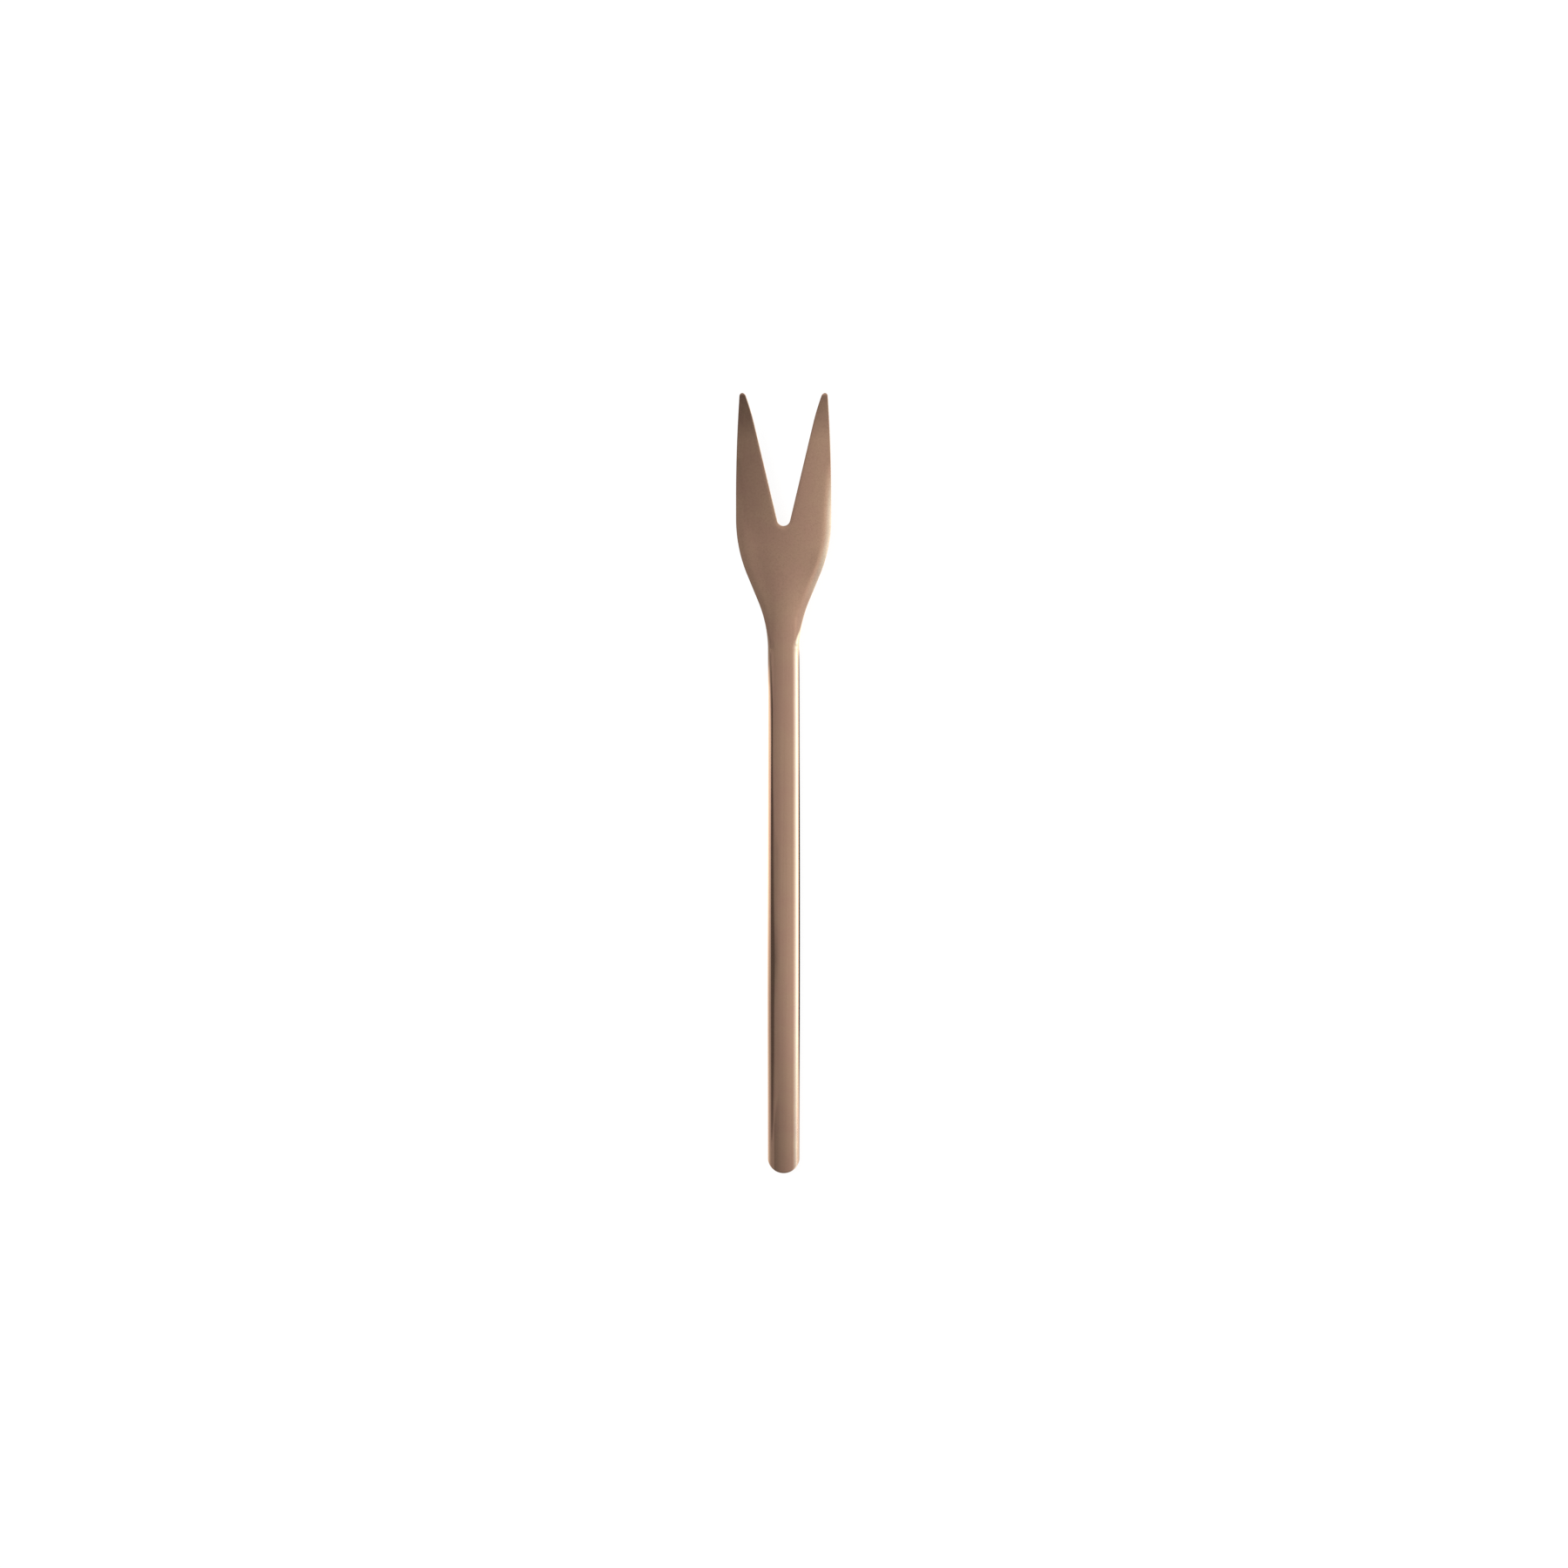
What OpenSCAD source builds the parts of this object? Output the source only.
// Two-tine cocktail fork with a hollow handle.
// It lies on the flat back of its handle, front face up: +Y runs along the
// fork towards the tips, +X to the right and +Z up. The origin is below the
// middle of its length, on the plane that it rests on. Millimetres.
//
// The head and its tang are one stamped and forged blank. The handle is two
// pressed half shells, front and back, that meet on a plane at mid height.
// The shells slide over the tang, a thin braze line joins their mouth to the
// neck, and a cast core holds the tang and fills the handle.
//
// Name endings: _l length, _w width, _t thickness, _r radius, _a angle,
// _d distance back from the tips.

/* [Overall] */
// Length from the butt of the handle to the tips
overall_l = 150; // [130:1:180]

/* [Handle] */
// Width of the handle
handle_w = 6.2; // [5.8:0.1:7.4]
// Thickness of the handle at the middle of its front
handle_t = 3.2; // [3.1:0.05:3.8]
// Radius of the handle's long edges
edge_r = 1.5; // [1.2:0.05:1.5]
// Radius of the crown across the handle's front
handle_crown_r = 25; // [20:1:60]
// Wall of the pressed shells
shell_wall = 0.6; // [0.4:0.05:0.8]
// Clearance between the core and what it touches
core_gap = 0.02; // [0.01:0.01:0.1]
// Thickness of the braze line at the neck
braze_t = 0.12; // [0.08:0.02:0.3]

/* [Head] */
// Greatest width of the head
head_w = 18.34; // [15:0.1:21]
// Distance from the tips to the start of the shoulders
shoulder_d = 24; // [22:0.5:26]
// Radius of each shoulder
shoulder_r = 28; // [22:1:32]
// Angle of the flanks below the shoulders
flank_a = 22; // [18:1:26]
// Radius of the hollow at each side of the neck
neck_r = 24; // [16:1:28]
// Height that the tips rise above the front of the handle
tip_rise = 2.9; // [0:0.1:5]
// Power of the rise along the head: 1 is straight, 2 is an even curve
rise_power = 1.6; // [1.4:0.1:2.4]
// Extra upward curl over the last part of the tines
tip_curl = 0.25; // [0:0.05:0.6]
// Thickness of the head where it leaves the neck
head_t = 1.95; // [1.7:0.05:2.4]
// Radius of the crown across the head's front
head_crown_r = 110; // [90:5:300]
// Radius of the crisp corner at the head's front edges
corner_r = 0.1; // [0.06:0.02:0.3]
// Width of the soft roll that leads to the head's outer edge
roll_w = 2.2; // [1:0.1:2.6]
// Tilt of that roll where it meets the corner
roll_a = 32; // [12:1:34]
// Width of the same roll beside the notch
inner_roll_w = 1; // [0.6:0.05:1.4]
// Tilt of the roll beside the notch
inner_roll_a = 2; // [1:1:12]
// Radius of the head's back edges
back_edge_r = 0.4; // [0.2:0.05:0.4]
// Length over which the handle's thickness thins into the head's
neck_blend_l = 13; // [8:1:18]
// Length over which the handle's crown flattens into the head's
crown_blend_l = 20; // [10:1:24]
// Length over which the handle's round front edges tighten into the head's
edge_blend_l = 6; // [4:0.5:12]

/* [Tines] */
// Depth of the notch between the tines
notch_l = 25.4; // [20:0.05:27]
// Angle between the notch's two straight sides
notch_a = 26.8; // [20:0.2:30]
// Radius at the bottom of the notch
root_r = 1.26; // [0.9:0.02:1.8]
// Half width of the head at the tips
tip_half_w = 8.46; // [7.5:0.05:9]
// Length over which the tines' inner sides curve away from each other
flare_l = 6; // [3:0.5:8]
// How far that curve takes each side outwards at the tip
flare_shift = 0.4; // [0.1:0.05:0.5]
// Thickness at the tips
tip_t = 1.15; // [1:0.05:1.4]
// Length of the rounding at each tip
tip_round_l = 0.55; // [0.3:0.05:0.8]

/* [Tang] */
// Length of the tang inside the handle
tang_l = 34; // [20:1:60]
// Width of the tang
tang_w = 2.8; // [2:0.1:3.4]
// Thickness of the tang
tang_t = 1.2; // [0.8:0.1:1.4]

/* [Hidden] */
$fn = 96;

copper = [0.72, 0.50, 0.40];
copper_back = [0.66, 0.45, 0.36];
braze_colour = [0.80, 0.66, 0.45];
core_colour = [0.62, 0.60, 0.56];

handle_half_w = handle_w / 2;
head_half_w = head_w / 2;
tips_y = overall_l / 2;
split_z = handle_t / 2;                // plane where the shells meet
butt_r = handle_half_w + 0.05;         // radius of the round butt
butt_y = -tips_y + butt_r;             // its centre
tang_taper = 0.7;                      // width of the tang's end over its foot's
over = 1;                              // overrun of cutting shapes
delta = 0.01;                          // step for measuring slopes

// Outline of the head, by distance from the tips. The straight flank joins the
// shoulder's arc to the neck's arc, and the neck's arc ends at the handle.
flank_d = shoulder_d + shoulder_r * sin(flank_a);
flank_x = head_half_w - shoulder_r * (1 - cos(flank_a));
neck_x = handle_half_w + neck_r * (1 - cos(flank_a));
neck_d = flank_d + (flank_x - neck_x) / tan(flank_a);
joint_d = neck_d + neck_r * sin(flank_a);
joint_y = tips_y - joint_d;            // plane where the handle begins

widest_d = 20.5;                       // where the head reaches its full width
root_d = notch_l - root_r;             // centre of the notch's round bottom
apex_d = root_d + root_r / sin(notch_a / 2);     // where the notch's sides would meet
tangent_d = root_d + root_r * sin(notch_a / 2);  // where its round bottom ends
fan_d = root_d + 3.2;                  // outer end of the section through the bottom's middle

curl_l = 9;                            // length of the extra curl at the tips
roll_start_d = 9;                      // where the front rolls begin to tilt
outer_tilt_l = 15;                     // lengths over which they reach full tilt
inner_tilt_l = 12;
joint_roll_w = 0.03;                   // width of the outer roll at the handle
tip_back_r = 0.25;                     // radius of the back edges at the tips
back_blend_l = 16;                     // length over which it grows to back_edge_r
tip_turn_a = 80;                       // angle through which each tip's rounding turns
tip_squeeze = 0.15;                    // how strongly a narrowing tip also thins
least_bend = 0.01;                     // least gain of slope across a roll

// Stations along the head and points round each section.
body_steps = 22;
root_steps = 6;
tine_steps = 20;
tip_steps = 5;
face_steps = 6;
roll_steps = 4;
edge_steps = 4;
tine_start = body_steps + root_steps;
tip_start = tine_start + tine_steps;
last = tip_start + tip_steps;
half_points = 2 * face_steps + roll_steps + 2 * edge_steps + 2;
ring_points = half_points + roll_steps + 2 * edge_steps;

function smooth(ratio) = let (part = min(1, max(0, ratio))) part * part * (3 - 2 * part);
function mix(from, to, ratio) = from + (to - from) * ratio;
function unit(vector) = vector / norm(vector);

// Outer half width, and the direction square to the outline that points outwards.
function outer_x(dist) =
    dist < widest_d ?
        head_half_w - (head_half_w - tip_half_w) * pow((widest_d - dist) / widest_d, 2) :
    dist < shoulder_d ? head_half_w :
    dist < flank_d ?
        head_half_w - shoulder_r + sqrt(pow(shoulder_r, 2) - pow(dist - shoulder_d, 2)) :
    dist < neck_d ? flank_x - (dist - flank_d) * tan(flank_a) :
    dist < joint_d ? handle_half_w + neck_r - sqrt(pow(neck_r, 2) - pow(joint_d - dist, 2)) :
    handle_half_w;
function outer_normal(dist) =
    let (before = max(0, dist - delta), after = dist + delta)
    unit([1, -(outer_x(after) - outer_x(before)) / (after - before)]);

// Inner side of a tine, between the notch's round bottom and the tip.
function inner_x(dist) =
    tan(notch_a / 2) * (apex_d - dist) + flare_shift * pow(max(0, flare_l - dist) / flare_l, 2);

// Front surface, back surface and the height midway between them.
function crown(dist) =
    mix(1 / handle_crown_r, 1 / head_crown_r, smooth((joint_d - dist) / crown_blend_l));
function neck_blend(dist) = smooth((joint_d - dist) / neck_blend_l);
function spine_z(dist) =
    handle_t + tip_rise * pow(max(0, joint_d - dist) / joint_d, rise_power)
    + tip_curl * pow(max(0, curl_l - dist) / curl_l, 2);
function thick(dist) =
    mix(tip_t, head_t, dist / joint_d) + (handle_t - head_t) * (1 - neck_blend(dist));
function front_z(x, dist) = spine_z(dist) - x * x * crown(dist) / 2;
function back_z(dist) = spine_z(dist) - thick(dist);
function middle_z(x, dist) = spine_z(dist) - thick(dist) / 2 - x * x * crown(dist) / 4;

// Shape of the edges. A roll is [width, tilt].
function edge_blend(dist) = smooth((joint_d - dist) / edge_blend_l);
function front_r(dist) = mix(edge_r, corner_r, edge_blend(dist));
function back_r(dist) =
    mix(edge_r, mix(tip_back_r, back_edge_r, smooth(dist / back_blend_l)), neck_blend(dist));
function outer_roll(dist) =
    [mix(joint_roll_w, roll_w, edge_blend(dist)),
     roll_a * smooth((dist - roll_start_d) / outer_tilt_l) * edge_blend(dist)];
function inner_roll(dist) =
    [inner_roll_w, inner_roll_a * smooth((dist - roll_start_d) / inner_tilt_l)];

// The edge functions list points in order from the face to the outline.
// rim is the point on the outline as [x, distance from the tips], out its
// outward direction, radius the corner's radius, and squeeze the share by
// which heights are drawn towards the middle.
function inset(rim, out, depth) = rim - out * depth;
function front_at(spot) = front_z(spot[0], spot[1]);
function place(spot, z) = [spot[0], tips_y - spot[1], z];
function slope_out(rim, out, depth) =
    (front_at(inset(rim, out, depth + delta)) - front_at(inset(rim, out, depth))) / delta;

// A soft roll, whose slope grows with the square of the distance along it, and
// then a corner that turns down to the side wall.
function front_edge(rim, out, roll, radius, squeeze) =
    let (width = roll[0],
         slope = slope_out(rim, out, width + radius * (1 - sin(roll[1]))),
         end_slope = max(tan(roll[1]), slope + least_bend),
         bend = end_slope - slope,
         end_a = atan(end_slope),
         start = radius * (1 - sin(end_a)) + width,
         start_z = front_at(inset(rim, out, start)),
         end_z = start_z - width * (slope + bend / 3),
         mid_z = middle_z(rim[0], rim[1]))
    [for (k = [0:roll_steps + edge_steps])
        let (on_roll = k < roll_steps,
             along = sqrt(min(1, k / roll_steps)),
             angle = mix(end_a, 90, (k - roll_steps) / edge_steps),
             depth = on_roll ? start - width * along : radius * (1 - sin(angle)),
             z = on_roll ? start_z - width * (slope * along + bend * pow(along, 3) / 3) :
                 end_z - radius * (cos(end_a) - cos(angle)))
        place(inset(rim, out, depth), mix(z, mid_z, squeeze))];

function back_edge(rim, out, radius, squeeze) =
    let (face_z = back_z(rim[1] - out[1] * radius),
         mid_z = middle_z(rim[0], rim[1]))
    [for (k = [0:edge_steps])
        let (angle = 90 * k / edge_steps,
             z = face_z + radius * (1 - cos(angle)))
        place(inset(rim, out, radius * (1 - sin(angle))), mix(z, mid_z, squeeze))];

// Stations run from the neck to the tips: down the body, fanned round the
// notch's bottom, along the tines and round the tips.
function tip_angle(i) = tip_turn_a * (i - tip_start) / tip_steps;
function tip_factor(i) = i <= tip_start ? 1 : cos(tip_angle(i));
function station_d(i) =
    i <= body_steps ? mix(joint_d, fan_d, i / body_steps) :
    i <= tine_start ? mix(fan_d, tangent_d, (i - body_steps) / root_steps) :
    i <= tip_start ? mix(tangent_d, tip_round_l, (i - tine_start) / tine_steps) :
    tip_round_l * (1 - sin(tip_angle(i)));
function root_direction(i) =
    let (angle = mix(90, notch_a / 2, (i - body_steps) / root_steps)) [cos(angle), sin(angle)];

// Half width used before the tines, wide enough that it limits no edge.
body_limit = 9;

// The right half's section at station i: across the front, round the outer
// edge, back across the underside and, beside the notch, up round the inner edge.
function half_section(i) =
    let (dist = station_d(i),
         on_middle = i < body_steps,
         on_tine = i > tine_start,
         full = tip_factor(i),
         squeeze = (1 - full) * tip_squeeze,
         mid_x = (outer_x(dist) + inner_x(dist)) / 2,
         half = on_tine ? (outer_x(dist) - inner_x(dist)) / 2 * full : body_limit,
         outer = [on_tine ? mid_x + half : outer_x(dist), dist],
         outer_out = unit(mix([1, 0], outer_normal(dist), full)),
         inner = on_middle ?
                 [0, mix(joint_d, notch_l + inner_roll_w + corner_r, i / body_steps)] :
             on_tine ? [mid_x - half, dist] : [0, root_d] + root_r * root_direction(i),
         inner_out = on_tine ?
             unit(mix([-1, 0], [-cos(notch_a / 2), -sin(notch_a / 2)], full)) :
             -root_direction(i),
         front_radius = min(front_r(dist), 0.35 * half),
         back_radius = min(back_r(dist), 0.6 * half),
         roll_out = outer_roll(dist),
         roll_in = inner_roll(dist),
         outer_front = front_edge(outer, outer_out, [min(roll_out[0], 0.55 * half), roll_out[1]],
             front_radius, squeeze),
         outer_back = back_edge(outer, outer_out, back_radius, squeeze),
         inner_front = front_edge(inner, inner_out, [min(roll_in[0], 0.25 * half), roll_in[1]],
             min(front_radius, corner_r), squeeze),
         inner_back = back_edge(inner, inner_out, back_radius, squeeze),
         front_start = on_middle ? place(inner, front_z(0, inner[1])) : inner_front[0],
         back_end = on_middle ? place(inner, back_z(inner[1])) : inner_back[0])
    concat(
        [front_start],
        [for (k = [1:face_steps - 1])
            let (spot = mix(front_start, outer_front[0], k / face_steps))
            [spot[0], spot[1], full < 1 ? spot[2] : front_z(spot[0], tips_y - spot[1])]],
        outer_front,
        [for (k = [edge_steps:-1:0]) outer_back[k]],
        [for (k = [1:face_steps - 1])
            let (spot = mix(outer_back[0], back_end, k / face_steps))
            [spot[0], spot[1], full < 1 ? spot[2] : back_z(tips_y - spot[1])]],
        [back_end],
        [for (k = [1:edge_steps]) on_middle ? back_end : inner_back[k]],
        [for (k = [roll_steps + edge_steps:-1:1]) on_middle ? front_start : inner_front[k]]);

// Number of the point k of station i, on the right (side 0) or the left (side
// 1). Points on the middle plane, up to the notch, belong to both sides.
function shared(i, k) = i <= body_steps && (k == 0 || k >= half_points - 1);
function point_index(side, i, k) =
    let (wrapped = k % ring_points)
    (side == 0 || shared(i, wrapped) ? 0 : (last + 1) * ring_points) + i * ring_points + wrapped;

// A face listed for the right side, turned round for the left.
function wound(side, face) =
    side == 0 ? face : [for (k = [len(face) - 1:-1:0]) face[k]];

module head_and_tang() {
    right = [for (i = [0:last]) for (point = half_section(i)) point];
    left = [for (point = right) [-point[0], point[1], point[2]]];
    foot = 2 * len(right);             // number of the tang's first point
    tang = [for (y = [joint_y, joint_y - tang_l]) for (corner = [[1, 1], [1, -1], [-1, -1], [-1, 1]])
        [corner[0] * tang_w / 2 * (y < joint_y ? tang_taper : 1), y,
         split_z + corner[1] * tang_t / 2]];
    skin = [for (side = [0, 1]) for (i = [0:last - 1])
        for (k = [0:(i < body_steps ? half_points - 2 : ring_points - 1)])
            wound(side, [point_index(side, i, k), point_index(side, i + 1, k),
                         point_index(side, i + 1, k + 1), point_index(side, i, k + 1)])];
    caps = [for (side = [0, 1])
        wound(side, [for (k = [ring_points - 1:-1:0]) point_index(side, last, k)])];
    // The ring-shaped ledge round the foot of the tang, and the two triangles
    // that close it above and below the tang.
    turn = face_steps + roll_steps + edge_steps;
    ledge = [for (side = [0, 1])
        let (up = foot + (side == 0 ? 0 : 3), down = foot + (side == 0 ? 1 : 2))
        for (face = concat(
            [for (k = [0:turn - 1]) [point_index(side, 0, k), point_index(side, 0, k + 1), up]],
            [[point_index(side, 0, turn), down, up]],
            [for (k = [turn:half_points - 2])
                [point_index(side, 0, k), point_index(side, 0, k + 1), down]]))
        wound(side, face)];
    bridges = [[point_index(0, 0, 0), foot, foot + 3],
               [point_index(0, 0, half_points - 1), foot + 2, foot + 1]];
    shank = [for (k = [0:3])
        [foot + k, foot + (k + 1) % 4, foot + 4 + (k + 1) % 4, foot + 4 + k]];
    tang_end = [for (k = [4:7]) foot + k];
    polyhedron(concat(right, left, tang),
        concat(skin, caps, ledge, bridges, shank, [tang_end]), convexity = 8);
}

// Section of the handle: flat back, crowned front and two round edges a side.
// in moves every face inwards by the same distance.
module section(in = 0) {
    radius = edge_r - in;
    crown_r = handle_crown_r - in;
    round_x = handle_half_w - edge_r;
    crown_reach = handle_crown_r - edge_r;
    top_z = handle_t - handle_crown_r + sqrt(pow(crown_reach, 2) - round_x * round_x);
    crown_x = crown_r * round_x / crown_reach;
    union() {
        for (side = [-1, 1]) {
            translate([side * round_x, edge_r]) circle(radius);
            translate([side * round_x, top_z]) circle(radius);
        }
        translate([-handle_half_w + in, edge_r])
            square([2 * (handle_half_w - in), top_z - edge_r]);
        translate([-round_x, in]) square([2 * round_x, top_z - in]);
        intersection() {
            translate([0, handle_t - handle_crown_r]) circle(crown_r, $fn = 720);
            translate([-crown_x, edge_r]) square([2 * crown_x, handle_t]);
        }
    }
}

// The part of the handle's section on one side of the plane where the shells
// meet, or the whole of it.
module section_part(in, part) {
    if (part == "whole") section(in);
    else intersection() {
        section(in);
        translate([-handle_half_w - over, part == "front" ? split_z : split_z - handle_t])
            square([handle_w + 2 * over, handle_t]);
    }
}

// The handle's body from its mouth at y = from: a straight bar whose end is cut
// round, as seen from the front, and square to the back.
module bar(in, from, part) {
    cut_h = handle_t + 2 * over;
    intersection() {
        translate([0, from, 0]) rotate([90, 0, 0])
            linear_extrude(from + tips_y + over) section_part(in, part);
        union() {
            translate([0, butt_y, -over]) cylinder(r = butt_r - in, h = cut_h, $fn = 180);
            translate([-handle_half_w - over, butt_y, -over])
                cube([handle_w + 2 * over, from + over - butt_y, cut_h]);
        }
    }
}

module handle_shell(part) {
    difference() {
        bar(0, joint_y - braze_t, part);
        bar(shell_wall, joint_y + over, "whole");
    }
}

module fork_head() {
    color(copper) head_and_tang();
}

// Thin plate with the handle's section, pierced by the tang.
module neck_braze() {
    color(braze_colour) translate([0, joint_y, 0]) rotate([90, 0, 0]) linear_extrude(braze_t)
        difference() {
            section();
            translate([0, split_z]) square([tang_w, tang_t], center = true);
        }
}

module handle_front_shell() {
    color(copper) handle_shell("front");
}

module handle_back_shell() {
    color(copper_back) handle_shell("back");
}

// Cast round the tang inside the two shells.
module tang_core() {
    slack = 2 * core_gap;
    color(core_colour) difference() {
        bar(shell_wall + core_gap, joint_y - braze_t - core_gap, "whole");
        translate([0, joint_y - tang_l / 2, split_z])
            cube([tang_w + slack, tang_l + slack, tang_t + slack], center = true);
    }
}

fork_head();
neck_braze();
handle_front_shell();
handle_back_shell();
tang_core();
